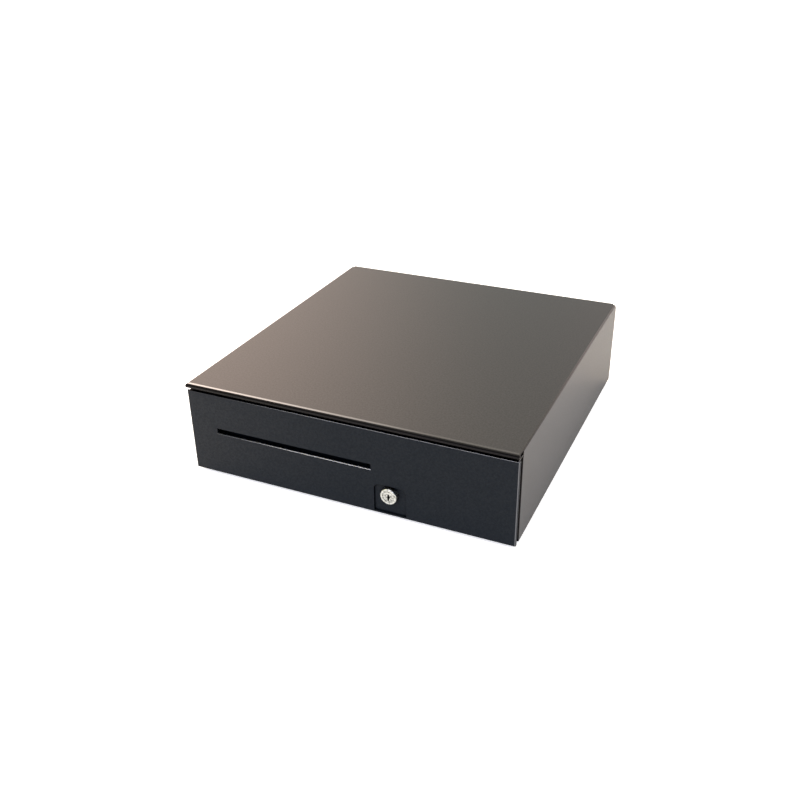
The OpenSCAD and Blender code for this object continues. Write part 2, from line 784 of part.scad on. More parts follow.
module till() place() color("#1d1e20") difference() {
  union() {
    difference() {
      translate([0, 0, till_z]) linear_extrude(till_h) {
        round_rect([-till_half, till_y0], [till_half, till_y1], 5);
      }
      translate([0, 0, till_z + wall]) linear_extrude(till_h) {
        round_rect([wall - till_half, till_y0 + wall], [till_half - wall, cross_y], 1.5);
        round_rect([wall - till_half, cross_y + wall], [till_half - wall, till_y1 - wall], 3);
      }
    }
    for (i = [0:note_bays]) {
      x = -till_half + wall / 2 + i * bay_pitch;
      edge = i == 0 ? 1 : i == note_bays ? -1 : 0;
      translate([x + edge * lug_t / 2, arm_y, 0]) {
        along_x(-lug_t / 2, lug_t / 2) {
          rect([-5, till_z + 1], [8 - wall + eps, arm_z]);
          translate([0, arm_z]) circle(r = 5);
          rect([0, arm_z], [8 - wall + eps, arm_z + 5]);
        }
      }
    }
    for (i = [1:note_bays - 1], s = [-1, 1]) {
      x = -till_half + wall / 2 + i * bay_pitch + s * 2.35;
      box([x - 0.95, cross_y + wall - eps, till_z + 1], [x + 0.95, cross_y + wall + 4, till_top - 6]);
    }
  }
  bar_x(arm_y, arm_z, arm_rod_r + 0.05, -till_half - 1, till_half + 1);
  for (i = [0:note_bays - 1]) {
    along_y(till_y0 - 1, till_y0 + wall + 1) {
      round_rect([bay_x(i) - 14, till_top - 9], [bay_x(i) + 14, till_top + 9], 6);
    }
  }
}

cup_half = till_half - wall - 0.8;
cup_pitch = (2 * cup_half - wall) / coin_cups;
cup_y0 = till_y0 + wall + 0.4;
cup_y1 = cross_y - 0.4;
cup_z = till_z + wall + 0.3;
cup_top = till_top - 4;

module coin_tray() place() color("#232528") difference() {
  union() {
    along_x(-cup_half, cup_half) cup_rect([cup_y0 + 1, cup_z], [cup_y1 - 1, cup_top], 30);
    box([-cup_half, cup_y0, cup_top - 2], [cup_half, cup_y1, cup_top]);
  }
  for (i = [0:coin_cups - 1]) {
    x0 = -cup_half + wall + i * cup_pitch;
    along_x(x0, x0 + cup_pitch - wall) {
      cup_rect([cup_y0 + 1 + wall, cup_z + wall], [cup_y1 - 1 - wall, cup_top + 5], 30 - wall);
    }
  }
}

module note_dividers() place() color("#2d3033") {
  for (i = [1:note_bays - 1]) {
    x = -till_half + wall / 2 + i * bay_pitch;
    along_x(x - 1.2, x + 1.2) {
      arch_rect([cross_y + wall + 0.3, till_z + wall + 0.2], [arm_y - 5.4, till_top - 5], 8);
    }
  }
}

module note_arm_rod() place() color("silver") {
  bar_x(arm_y, arm_z, arm_rod_r - 0.02, -till_half + 0.2, till_half - 0.2);
}

module note_arm(i) {
  x = bay_x(i);
  color("#3a3d41") difference() {
    along_x(x - arm_w / 2, x + arm_w / 2) {
      translate([arm_y, arm_z]) circle(r = 5);
      rect([arm_y - arm_len + 4, arm_z - 1.5], [arm_y, arm_z + 1.8]);
      translate([arm_y - arm_len + 4, arm_z - 2.7]) circle(r = 4.5);
    }
    bar_x(arm_y, arm_z, arm_rod_r + 0.05, x - arm_w, x + arm_w);
    for (s = [-1, 1]) {
      box([x + s * 9 - 3, arm_y - arm_len + 14, arm_z - 9], [x + s * 9 + 3, arm_y - 8, arm_z + 9]);
    }
  }
}

module note_arm_1() place() note_arm(0);
module note_arm_2() place() note_arm(1);
module note_arm_3() place() note_arm(2);
module note_arm_4() place() note_arm(3);
module note_arm_5() place() note_arm(4);

// ---------- latch, solenoid, switch and ejector ----------

module latch_bracket() place() color("#a9acb0") difference() {
  union() {
    for (side = [-1, 1]) mirror([side < 0 ? 1 : 0, 0, 0]) {
      box([cheek_x, bracket_y0, base_top], [cheek_x + cheek_t, bracket_y1, bracket_top]);
      box([cheek_x, bracket_y0, base_top], [30, bracket_y1, base_top + cheek_t]);
    }
    box([-cheek_x - cheek_t, bracket_y1 - cheek_t, base_top + 6],
        [cheek_x + cheek_t, bracket_y1, bracket_top]);
  }
  bar_x(pivot_y, latch_z, pin_r + 0.02, -20, 20);
  for (p = solenoid_screw_places) bar_x(p[0], p[1], m3_hole_r, -20, 20);
  for (p = bracket_screw_places) translate([p[0], p[1], 0]) cylinder(r = m3_hole_r, h = 9);
}

solenoid_screw_places = [[391.5, 81], [404.5, 81]];

module bracket_screws() place() color("silver") {
  for (p = concat(bracket_screw_places, ejector_screw_places)) {
    translate([p[0], p[1], base_top + cheek_t]) pan_screw(m3_r - bore_play, 2.6, m3_head_r, m3_head_h);
  }
}

module latch_pin() place() color("#d0d2d5") {
  bar_x(pivot_y, latch_z, pin_r, -cheek_x - cheek_t, cheek_x + cheek_t + 2);
  bar_x(pivot_y, latch_z, pin_r + 1.5, -cheek_x - cheek_t - 1.6, -cheek_x - cheek_t);
}

// A torsion spring on the pin, which turns the hook down
module latch_spring() place() color("#c8cacd") {
  translate([4, pivot_y, latch_z]) rotate([0, 90, 0]) coil_spring(3.4, 0.45, 6, 8);
}

module latch_lever() place() color("#9a9da2") difference() {
  along_x(-lever_t / 2, lever_t / 2) {
    translate([pivot_y, latch_z]) circle(r = 5);
    rect([382, latch_z - 4], [pivot_y, latch_z + 4]);
    rect([382, latch_z - 9], [387, latch_z]);
    rect([pivot_y, latch_z - 2], [pivot_y + 8.5, latch_z + 4]);
  }
  bar_x(pivot_y, latch_z, pin_r + 0.05, -5, 5);
  along_x(-5, 5) {
    for (s = [-1, 1]) translate([plunger_y + s * 0.6, latch_z]) circle(r = 1.62);
    rect([plunger_y - 0.6, latch_z - 1.62], [plunger_y + 0.6, latch_z + 1.62]);
  }
}

module solenoid_frame() place() color("#b3b6ba") difference() {
  box([-cheek_x + 0.05, plunger_y - 11, coil_z0], [cheek_x - 0.05, plunger_y + 11, coil_z1]);
  box([-12.4, plunger_y - 12, coil_z0 + 2], [12.4, plunger_y + 12, coil_z1 - 2]);
  translate([0, plunger_y, coil_z0 - 1]) cylinder(r = plunger_r + 0.1, h = 4);
  for (p = solenoid_screw_places) bar_x(p[0], p[1], m3_r, -20, 20);
}

module solenoid_coil() place() color("#a8542c") difference() {
  translate([0, plunger_y, coil_z0 + 2.1]) {
    cylinder(r = 10.8, h = 1.6);
    cylinder(r = 9.8, h = coil_z1 - coil_z0 - 4.2);
    translate([0, 0, coil_z1 - coil_z0 - 5.8]) cylinder(r = 10.8, h = 1.6);
  }
  translate([0, plunger_y, coil_z0]) cylinder(r = plunger_r + 0.1, h = coil_z1 - coil_z0 - 6);
}

module solenoid_screws() place() color("silver") {
  for (side = [-1, 1], p = solenoid_screw_places) {
    translate([side * (cheek_x + cheek_t), p[0], p[1]]) rotate([0, side * 90, 0]) {
      pan_screw(m3_r - bore_play, 3.4, m3_head_r, m3_head_h);
    }
  }
}

module solenoid_plunger() place() color("#d3d5d8") difference() {
  translate([0, plunger_y, plunger_bottom]) cylinder(r = plunger_r, h = coil_z1 - plunger_bottom - 9);
  box([-lever_t / 2 - 0.2, plunger_y - 8, plunger_bottom - 1],
      [lever_t / 2 + 0.2, plunger_y + 8, latch_z + 7]);
  bar_x(plunger_y, latch_z, plunger_pin_r + bore_play, -8, 8);
}

module plunger_pin() place() color("silver") {
  bar_x(plunger_y, latch_z, plunger_pin_r, -plunger_r - 0.8, plunger_r + 0.8);
}

// A small switch that is held between the latch bracket's cheeks, with ears for its blade
module status_switch() place() color("#1b1c1e") {
  box([-10, switch_y - 3, switch_z], [10, switch_y + 3, switch_z + 10]);
  box([bore_play - cheek_x, switch_y - 2.5, switch_z + 1],
      [cheek_x - bore_play, switch_y + 2.5, switch_z + 9]);
  for (side = [-1, 1]) {
    y = switch_y + side * 2.6;
    box([blade_x - 1.2, y - 0.4, blade_z - 1], [blade_x + 1.2, y + 0.4, switch_z + 2]);
  }
  bar_y(blade_x, blade_z, blade_pin_r, switch_y - 3, switch_y + 3);
  translate([-2, switch_y, blade_z + 1.25]) cylinder(r = 0.9, h = switch_z - blade_z);
  for (x = [-6, 0, 6]) {
    box([x - 1.4, switch_y - 0.3, switch_z + 10 - eps], [x + 1.4, switch_y + 0.3, switch_z + 14]);
  }
}

// The switch's blade: a strip with its end curled around the pin between the ears
module switch_lever() place() color("#d0d2d5") difference() {
  union() {
    bar_y(blade_x, blade_z, blade_pin_r + 0.45, switch_y - 1.9, switch_y + 1.9);
    box([blade_x, switch_y - 1.6, blade_z - 0.2], [9, switch_y + 1.6, blade_z + 0.2]);
  }
  bar_y(blade_x, blade_z, blade_pin_r + 0.03, switch_y - 3, switch_y + 3);
}

module ejector_bracket() place() color("#a9acb0") difference() {
  union() {
    box([eject_x - 13, eject_plates[0], base_top],
        [eject_x + 13, eject_plates[1] + cheek_t, base_top + cheek_t]);
    for (y = eject_plates) along_y(y, y + cheek_t) {
      arch_rect([eject_x - 10, base_top], [eject_x + 10, eject_z + 9], 9);
    }
  }
  bar_y(eject_x, eject_z, eject_rod_r + 0.08, 380, 420);
  for (p = ejector_screw_places) translate([p[0], p[1], 0]) cylinder(r = m3_hole_r, h = 9);
}

module ejector_spring() place() color("#c8cacd") {
  y0 = eject_y0 + 4.5;
  translate([eject_x, y0 + 0.6, eject_z]) rotate([-90, 0, 0]) {
    coil_spring(5.4, 0.5, 6, eject_plates[0] - y0 - 1.2);
  }
}

module ejector_plunger() place() color("#e7e4dc") {
  bar_y(eject_x, eject_z, 8, eject_y0, eject_y0 + 4.4);
  bar_y(eject_x, eject_z, eject_rod_r, eject_y0 + 4, eject_plates[1] + 8);
}

// ---------- control board ----------

module control_board() place() color("#1f6b3a") difference() {
  box([board_x0, board_y0, board_z], [board_x1, board_y1, board_z + board_t]);
  for (p = board_posts) translate([p[0], p[1], board_z - 1]) cylinder(r = 1.6, h = 4);
}

module board_parts() place() color("#2a2c30") {
  z = board_z + board_t;
  translate([106, 398, z]) cylinder(r = 5, h = 13);
  box([136, 392, z], [146, 398, z + 4]);
  box([118, 391, z], [130, 396, z + 8]);
  for (i = [0:2]) bar_x(403 + 3.5 * i, z + 1.3, 1.2, 136, 144);
}

module interface_jack() place() color("#2a2c30") difference() {
  z = board_z + board_t;
  box([jack_x - jack_w / 2, jack_y0, z], [jack_x + jack_w / 2, case_d - 0.5, z + jack_h]);
  box([jack_x - 4.9, jack_y0 + 3, z + 4], [jack_x + 4.9, case_d + 1, z + 11]);
  box([jack_x - 3, jack_y0 + 3, z + 2.2], [jack_x + 3, case_d + 1, z + 5]);
}

module board_screws() place() color("silver") {
  for (p = board_posts) translate([p[0], p[1], board_z + board_t]) pan_screw(1.22, 4.5, 2.6, 1.6);
}

module wire_harness() place() color("#b03028") {
  z = board_z + board_t;
  for (i = [0, 1]) {
    gap = 2.4 * i;
    start_x = 122 + 3 * i;
    end_x = 1.3 - 2.6 * i;
    wire([
      [start_x, 393.5, z + 8],
      [start_x, 393.5, z + 15 + gap],
      [45, 393.5 + gap, z + 15 + gap],
      [24 + gap, 400 + gap, 26],
      [24 + gap, 400 + gap, 104 + gap],
      [end_x, 411.5, 104 + gap],
      [end_x, 411.5, 88],
      [end_x, plunger_y + 9.85, 88]
    ], 0.8);
  }
}

case_cover();
base_pan();
rear_panel();
rear_screws();
base_screws();
rubber_feet();
foot_screws();
slide_case_member_left();
slide_case_member_right();
slide_case_screws();
latch_bracket();
bracket_screws();
latch_pin();
latch_spring();
solenoid_frame();
solenoid_coil();
solenoid_screws();
status_switch();
ejector_bracket();
ejector_spring();
control_board();
board_parts();
interface_jack();
board_screws();
wire_harness();
lock_keeper();
keeper_rivets();
drawer_tray();
front_panel();
panel_nuts();
lock_body();
lock_nut();
slip_guide();
latch_strike();
strike_rivets();
slide_drawer_member_left();
slide_drawer_member_right();
slide_drawer_screws();
till();
coin_tray();
note_dividers();
note_arm_rod();
ball_retainer_left();
ball_retainer_right();
slide_balls_left();
slide_balls_right();
lock_plug();
lock_cam();
cam_screw();
latch_lever();
solenoid_plunger();
plunger_pin();
switch_lever();
ejector_plunger();
note_arm_1();
note_arm_2();
note_arm_3();
note_arm_4();
note_arm_5();
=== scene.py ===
import json
import math

import bmesh
import bpy
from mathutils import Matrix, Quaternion, Vector


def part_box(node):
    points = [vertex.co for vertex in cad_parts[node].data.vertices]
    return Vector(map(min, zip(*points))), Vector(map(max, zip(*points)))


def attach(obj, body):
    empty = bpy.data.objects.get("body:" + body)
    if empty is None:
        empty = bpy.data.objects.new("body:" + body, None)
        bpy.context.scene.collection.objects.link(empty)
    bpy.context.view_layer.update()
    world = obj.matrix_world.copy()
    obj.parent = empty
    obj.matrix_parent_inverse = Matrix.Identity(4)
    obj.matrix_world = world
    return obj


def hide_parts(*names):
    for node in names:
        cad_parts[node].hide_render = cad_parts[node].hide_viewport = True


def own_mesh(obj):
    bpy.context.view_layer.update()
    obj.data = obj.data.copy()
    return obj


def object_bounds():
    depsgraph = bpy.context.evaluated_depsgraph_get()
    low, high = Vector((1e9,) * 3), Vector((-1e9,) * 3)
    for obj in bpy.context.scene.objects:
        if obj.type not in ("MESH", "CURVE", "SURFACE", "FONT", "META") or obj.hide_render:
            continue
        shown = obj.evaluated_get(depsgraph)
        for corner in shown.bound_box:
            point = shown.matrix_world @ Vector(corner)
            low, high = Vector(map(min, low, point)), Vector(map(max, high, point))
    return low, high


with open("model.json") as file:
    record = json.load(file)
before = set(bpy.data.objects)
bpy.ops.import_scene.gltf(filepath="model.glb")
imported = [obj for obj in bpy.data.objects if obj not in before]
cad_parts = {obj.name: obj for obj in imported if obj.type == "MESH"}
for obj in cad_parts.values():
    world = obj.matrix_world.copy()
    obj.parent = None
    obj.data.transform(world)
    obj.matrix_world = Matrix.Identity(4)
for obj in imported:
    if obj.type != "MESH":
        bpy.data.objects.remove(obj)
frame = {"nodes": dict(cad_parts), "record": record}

cad_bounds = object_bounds()
nodes = frame["nodes"]
MM = 0.001
LOW, HIGH = cad_bounds
MIDDLE = (LOW + HIGH) / 2

# ---------- material helpers ----------


class Shader:
    """One node material: a Principled shader and short calls that add nodes to it."""

    def __init__(self, name):
        self.material = bpy.data.materials.new(name)
        self.material.use_nodes = True
        self.tree = self.material.node_tree
        self.principled = self.tree.nodes["Principled BSDF"]
        self.places = self.add("ShaderNodeTexCoord").outputs["Object"]

    def add(self, kind, **settings):
        node = self.tree.nodes.new(kind)
        for key, value in settings.items():
            setattr(node, key, value)
        return node

    def join(self, source, target):
        self.tree.links.new(source, target)

    def feed(self, target, value):
        """Sets an input to a plain value, or joins it to another node's output."""
        if isinstance(value, bpy.types.NodeSocket):
            self.join(value, target)
        elif isinstance(value, tuple) and len(value) == 3 and target.type == "RGBA":
            target.default_value = (*value, 1)
        else:
            target.default_value = value

    def put(self, **inputs):
        """Sets inputs of the Principled shader, such as Base_Color=(r, g, b)."""
        for name, value in inputs.items():
            self.feed(self.principled.inputs[name.replace("_", " ")], value)

    def stretched(self, scale):
        """The object's own coordinates, scaled along each axis."""
        mapping = self.add("ShaderNodeMapping")
        mapping.inputs["Scale"].default_value = scale
        self.join(self.places, mapping.inputs["Vector"])
        return mapping.outputs["Vector"]

    def noise(self, size, detail=2.0, roughness=0.5, places=None):
        """A noise whose features are about size metres across, from 0 to 1."""
        node = self.add("ShaderNodeTexNoise")
        self.join(places or self.places, node.inputs["Vector"])
        node.inputs["Scale"].default_value = 1 / size
        node.inputs["Detail"].default_value = detail
        node.inputs["Roughness"].default_value = roughness
        return node.outputs["Fac"]

    def cells(self, size):
        """The distance to the middle of the nearest cell, for cells about size metres across."""
        node = self.add("ShaderNodeTexVoronoi")
        self.join(self.places, node.inputs["Vector"])
        node.inputs["Scale"].default_value = 1 / size
        return node.outputs["Distance"]

    def spread(self, value, low, high, to_low, to_high):
        """Maps the range low to high of a value onto to_low to to_high, and clamps it."""
        node = self.add("ShaderNodeMapRange")
        self.join(value, node.inputs["Value"])
        node.inputs["From Min"].default_value = low
        node.inputs["From Max"].default_value = high
        node.inputs["To Min"].default_value = to_low
        node.inputs["To Max"].default_value = to_high
        return node.outputs["Result"]

    def maths(self, operation, a, b=0.0):
        node = self.add("ShaderNodeMath", operation=operation)
        self.feed(node.inputs[0], a)
        self.feed(node.inputs[1], b)
        return node.outputs[0]

    def times(self, first, *others):
        """The product of two or more values."""
        for other in others:
            first = self.maths("MULTIPLY", first, other)
        return first

    def mix(self, share, a, b):
        """Colour a at share 0 and colour b at share 1."""
        node = self.add("ShaderNodeMix", data_type="RGBA")
        self.feed(node.inputs[0], share)
        self.feed(node.inputs[6], a)
        self.feed(node.inputs[7], b)
        return node.outputs[2]

    def bump(self, height, depth, base=None):
        """Relief of about depth metres from a height of 0 to 1, on top of another relief."""
        node = self.add("ShaderNodeBump")
        node.inputs["Distance"].default_value = depth
        self.join(height, node.inputs["Height"])
        if base is not None:
            self.join(base, node.inputs["Normal"])
        return node.outputs["Normal"]

    def rounded(self, radius):
        """The surface's direction with the edges rounded to a radius in metres."""
        node = self.add("ShaderNodeBevel", samples=8)
        node.inputs["Radius"].default_value = radius
        return node.outputs["Normal"]

    def facing(self, direction):
        """The parts of the surface's direction along X, Y and Z."""
        parts = self.add("ShaderNodeSeparateXYZ")
        self.join(direction, parts.inputs[0])
        return parts.outputs

    def place(self):
        """The place on the object along X, Y and Z."""
        parts = self.add("ShaderNodeSeparateXYZ")
        self.join(self.places, parts.inputs[0])
        return parts.outputs

    def bends(self, facing):
        """1 where the surface turns between two of the object's main directions."""
        sizes = [self.maths("ABSOLUTE", part) for part in facing]
        largest = self.maths("MAXIMUM", self.maths("MAXIMUM", sizes[0], sizes[1]), sizes[2])
        return self.spread(largest, 0.97, 0.998, 1, 0)

    def openness(self, distance):
        """1 in the open and 0 deep in a corner, a gap or a hole. The paints darken by it, which paints
        shade into hollows.
        """
        node = self.add("ShaderNodeAmbientOcclusion", samples=8)
        node.inputs["Distance"].default_value = distance
        return self.spread(node.outputs["AO"], 0.3, 0.85, 0, 1)

    def edges(self, radius):
        """1 on edges that are sharper than radius metres, and 0 on flat stretches."""
        flat = self.add("ShaderNodeNewGeometry").outputs["Normal"]
        dot = self.add("ShaderNodeVectorMath", operation="DOT_PRODUCT")
        self.join(self.rounded(radius), dot.inputs[0])
        self.join(flat, dot.inputs[1])
        return self.spread(dot.outputs["Value"], 0.995, 0.85, 0, 1)


def shade(colour, factor, lift=0.0):
    """A colour made darker or lighter by a factor, and then lifted by an even amount."""
    return tuple(factor * part + lift for part in colour)


def lip_painted_highlight(s, facing):
    """Painted highlight: bright metal on the cover's bends, where they look up, and on a strip behind
    the lip. The painted highlight fades to the right.
    """
    x, y, _ = s.place()
    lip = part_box("case_cover")[0].y
    strip = s.spread(y, lip + 4.1 * MM, lip + 5.1 * MM, 1, 0)
    level = s.spread(facing[2], 0.93, 0.98, 0, 1)
    # the painted highlight is strongest at the left end and fades towards the right
    highlight_fade = s.spread(x, LOW.x, 0.5 * HIGH.x, 0.5, 0.04)
    return s.times(s.maths("MAXIMUM", s.bends(facing), strip), level, highlight_fade)


def panel_painted_highlight(s, facing):
    """Painted highlight on the front panel's outer bends and on the edges that look up, above the lock.
    It fades towards the left.
    """
    x, _, z = s.place()
    forward = s.spread(facing[1], -0.5, -0.75, 0, 0.16)
    near_end = s.spread(s.maths("ABSOLUTE", x), HIGH.x - 3 * MM, HIGH.x - 1 * MM, 0, 1)
    above_lock = s.spread(z, 45 * MM, 50 * MM, 0, 1)
    below_lip = s.spread(z, 90 * MM, 100 * MM, 1, 0.4)
    # the painted highlight fades out towards the left end
    to_right = s.spread(x, -150 * MM, -40 * MM, 0.15, 1)
    upward = s.spread(facing[2], 0.05, 0.3, 0, 1)
    bends = s.bends(facing)
    return s.maths(
        "MAXIMUM",
        s.times(bends, forward, near_end),
        s.times(bends, above_lock, below_lip, to_right, upward),
    )


def tray_shine(s, facing):
    """A trace of wear on every bend."""
    return s.times(s.bends(facing), 0.1)


def powder_coat(name, colour, rough, gloss, front_gloss, highlight_and_wear, rounding=0.0):
    """Textured baked paint: a fine grain that glints, a slight orange peel, and painted shade that
    darkens the hollows.

    front_gloss is for faces that look to the front, at the left end and from the middle on. It paints
    shade on the cover's front faces and a sheen on the panel's left end.
    The function passed for the bright metal's share paints highlights on the cover and the panel and
    marks rubbed wear on the tray. rounding softens the sheet's cut edges.
    """
    grain = 1 * MM
    black = (0, 0, 0)
    bright_metal = (0.9, 0.9, 0.9)
    s = Shader(name)
    direction = s.rounded(rounding) if rounding else s.add("ShaderNodeNewGeometry").outputs["Normal"]
    facing = s.facing(direction)
    # painted shade: hollows and gaps are darkened and lose gloss
    clear = s.openness(8 * MM)
    # share of bright metal: painted highlight on the cover and the panel, rubbed wear on the tray
    highlight_and_wear_share = highlight_and_wear(s, facing)
    specks = s.spread(s.cells(grain), 0.1, 0.7, 0, 1)
    tone = s.mix(specks, shade(colour, 1.25), shade(colour, 0.8))
    # painted shade: bends that turn down to the front are darkened towards black
    painted_shade_down_bends = s.times(s.spread(facing[2], 0.1, 0.35, 0, 0.85), s.spread(facing[2], 0.6, 0.75, 1, 0))
    tone = s.mix(painted_shade_down_bends, tone, black)
    # painted shade and sheen: gloss drops on faces that turn forward, and front faces take front_gloss,
    # blended from the left end to the middle
    to_front = s.spread(facing[1], -0.8, -0.97, 0, 1)
    front = s.times(to_front, s.spread(s.place()[0], LOW.x, 0, *front_gloss))
    gloss_with_painted_shade = s.spread(facing[1], -0.3, -0.45, gloss, 0.01)
    glint = s.spread(s.noise(2 * MM, 2), 0.35, 0.65, 0.8, 1.2)
    peel = s.bump(s.noise(4 * MM, 1), 0.03 * MM, direction)
    # the base colour takes the painted shade in hollows and the bright metal share
    s.put(
        Base_Color=s.mix(highlight_and_wear_share, s.mix(clear, black, tone), bright_metal),
        Metallic=highlight_and_wear_share,
        Roughness=s.spread(s.noise(2 * MM, 3), 0.3, 0.7, rough - 0.03, rough + 0.03),
        Specular_IOR_Level=s.times(s.maths("MAXIMUM", gloss_with_painted_shade, front), glint, clear),
        Normal=s.bump(s.noise(grain, 3, 0.6), 0.05 * MM, peel),
    )
    return s.material


def plated_steel(name, colour, rough, spangle=7 * MM):
    """Zinc-plated sheet: patches of crystal, a light rolled grain and dull spots."""
    s = Shader(name)
    patches = s.spread(s.cells(spangle), 0, 0.8, 0, 1)
    tone = s.mix(patches, shade(colour, 0.82), colour)
    stains = s.spread(s.noise(18 * MM, 4), 0.55, 0.75, 0, 0.5)
    s.put(
        Base_Color=s.mix(stains, tone, shade(colour, 0.6)),
        Metallic=1.0,
        Roughness=s.spread(s.noise(3 * MM, 4), 0.3, 0.7, rough - 0.06, rough + 0.1),
        Normal=s.bump(s.noise(1.4 * MM, 2), 0.02 * MM),
    )
    return s.material


def brushed_steel(name, colour, rough, stretch=(1, 0.03, 1)):
    """Drawn or turned steel, with fine lines along one axis."""
    s = Shader(name)
    lines = s.noise(0.5 * MM, 3, places=s.stretched(stretch))
    s.put(
        Base_Color=s.mix(lines, shade(colour, 0.75), colour),
        Metallic=1.0,
        Roughness=s.spread(lines, 0.2, 0.8, rough - 0.05, rough + 0.08),
        Normal=s.bump(lines, 0.01 * MM),
    )
    return s.material


def moulded_plastic(name, colour, rough, grain=0.5 * MM, relief=0.03 * MM):
    """Injection-moulded plastic: spark-eroded grain, faint flow clouds and scuffed edges."""
    s = Shader(name)
    worn = s.times(s.edges(0.4 * MM), 0.35)
    clouds = s.spread(s.noise(60 * MM, 3), 0.3, 0.7, 0, 1)
    tone = s.mix(clouds, colour, shade(colour, 1.2, 0.002))
    s.put(
        Base_Color=s.mix(worn, tone, shade(colour, 2.2, 0.02)),
        Roughness=s.spread(s.noise(12 * MM, 4), 0.3, 0.7, rough - 0.05, rough + 0.07),
        Normal=s.bump(s.cells(grain), relief),
    )
    return s.material


def nickel(name, colour, rough, spots):
    """Bright nickel plate with dull spots, light handling scratches and painted shade darkening its
    hollows.
    """
    s = Shader(name)
    scratches = s.noise(0.35 * MM, 4, places=s.stretched((1, 1, 0.12)))
    dull = s.spread(s.noise(2.2 * MM, 3, 0.6), 0.47, 0.58, 0, spots)
    tone = s.mix(dull, colour, shade(colour, 0.3))
    s.put(
        # painted shade: hollows go almost black
        Base_Color=s.mix(s.openness(4 * MM), (0.01, 0.01, 0.01), tone),
        Metallic=1.0,
        Roughness=s.spread(scratches, 0.3, 0.75, rough, rough + 0.12),
        Normal=s.bump(scratches, 0.012 * MM),
    )
    return s.material


def rubber(name, colour):
    """Matt rubber with pale dust on it."""
    s = Shader(name)
    dust = s.spread(s.noise(5 * MM, 5), 0.5, 0.8, 0, 0.4)
    s.put(
        Base_Color=s.mix(dust, colour, (0.09, 0.085, 0.08)),
        Roughness=s.spread(s.noise(2 * MM, 3), 0.3, 0.7, 0.75, 0.92),
        Specular_IOR_Level=0.3,
        Normal=s.bump(s.noise(0.6 * MM, 2), 0.05 * MM),
    )
    return s.material


def coil_wrap(name, colour):
    """Taped winding: narrow turns of tape with raised edges."""
    s = Shader(name)
    bands = s.add("ShaderNodeTexWave", wave_type="BANDS", bands_direction="Z")
    s.join(s.places, bands.inputs["Vector"])
    bands.inputs["Scale"].default_value = 1 / (3 * MM)
    bands.inputs["Distortion"].default_value = 0.6
    turns = bands.outputs["Fac"]
    s.put(
        Base_Color=s.mix(turns, shade(colour, 0.6), colour),
        Roughness=0.35,
        Normal=s.bump(turns, 0.15 * MM),
    )
    return s.material


def circuit_board(name, colour):
    """Solder mask with pale copper tracks showing through it."""
    s = Shader(name)
    bricks = s.add("ShaderNodeTexBrick")
    s.join(s.places, bricks.inputs["Vector"])
    bricks.inputs["Scale"].default_value = 1 / (9 * MM)
    bricks.inputs["Mortar Size"].default_value = 0.06
    tracks = bricks.outputs["Fac"]
    s.put(
        Base_Color=s.mix(tracks, colour, shade(colour, 2.4, 0.01)),
        Roughness=s.spread(s.noise(6 * MM, 2), 0.3, 0.7, 0.22, 0.34),
        Normal=s.bump(tracks, 0.04 * MM),
    )
    return s.material


# ---------- the record's material slots ----------

slot_of = {part["node"]: part["material_slot"] for part in frame["record"]["subparts"]}
MATERIALS = {
    # the cover's front faces get gloss 0.05 instead of 0.5: painted shade on the lip's front
    "case_paint": powder_coat(
        "case_paint", (0.016, 0.015, 0.0145), 0.36, gloss=0.5, front_gloss=(0.05, 0.05), highlight_and_wear=lip_painted_highlight
    ),
    # the panel's paint is the case's paint made darker and bluer with less gloss: painted shade for the
    # dimmer, cooler light on the front
    "panel_paint": powder_coat(
        "panel_paint",
        (0.006, 0.009, 0.013),
        0.38,
        gloss=0.12,
        front_gloss=(0.18, 0.115),
        highlight_and_wear=panel_painted_highlight,
        rounding=0.6 * MM,
    ),
    "tray_paint": powder_coat(
        "tray_paint", (0.16, 0.165, 0.17), 0.45, gloss=0.4, front_gloss=(0.4, 0.4), highlight_and_wear=tray_shine
    ),
    "zinc_steel": plated_steel("zinc_steel", (0.56, 0.57, 0.58), 0.38),
    "slide_steel": brushed_steel("slide_steel", (0.6, 0.61, 0.62), 0.3),
    "fastener_steel": plated_steel("fastener_steel", (0.66, 0.67, 0.68), 0.28, 2 * MM),
    "ball_steel": nickel("ball_steel", (0.78, 0.79, 0.8), 0.06, 0.1),
    "spring_steel": brushed_steel("spring_steel", (0.5, 0.5, 0.52), 0.32, (1, 1, 1)),
    "lock_chrome": nickel("lock_chrome", (0.7, 0.72, 0.69), 0.2, 0.85),
    "foot_rubber": rubber("foot_rubber", (0.018, 0.018, 0.019)),
    "till_plastic": moulded_plastic("till_plastic", (0.022, 0.023, 0.025), 0.5),
    "arm_plastic": moulded_plastic("arm_plastic", (0.05, 0.052, 0.057), 0.42),
    "switch_plastic": moulded_plastic("switch_plastic", (0.02, 0.021, 0.024), 0.35),
    "coil_wrap": coil_wrap("coil_wrap", (0.42, 0.15, 0.05)),
    "board_green": circuit_board("board_green", (0.02, 0.14, 0.05)),
    "wire_cover": moulded_plastic("wire_cover", (0.36, 0.03, 0.02), 0.3, 0.8 * MM, 0.01 * MM),
    "nylon_white": moulded_plastic("nylon_white", (0.72, 0.7, 0.64), 0.45),
}


def dress(obj, slot):
    """Gives a piece the material of one of the record's slots."""
    obj.data.materials.clear()
    obj.data.materials.append(MATERIALS[slot])


def round_edges(obj, radius):
    """Joins the faces of a CAD mesh along their shared edges and rounds its sharp edges slightly."""
    weld = obj.modifiers.new("weld", "WELD")
    weld.merge_threshold = 0.001 * MM
    bevel = obj.modifiers.new("bevel", "BEVEL")
    bevel.width = radius
    bevel.segments = 2
    bevel.limit_method = "ANGLE"
    bevel.angle_limit = math.radians(40)
    bevel.harden_normals = True


for name, obj in nodes.items():
    dress(obj, slot_of[name])

round_edges(nodes["case_cover"], 0.35 * MM)

# ---------- pieces finer than the CAD model ----------


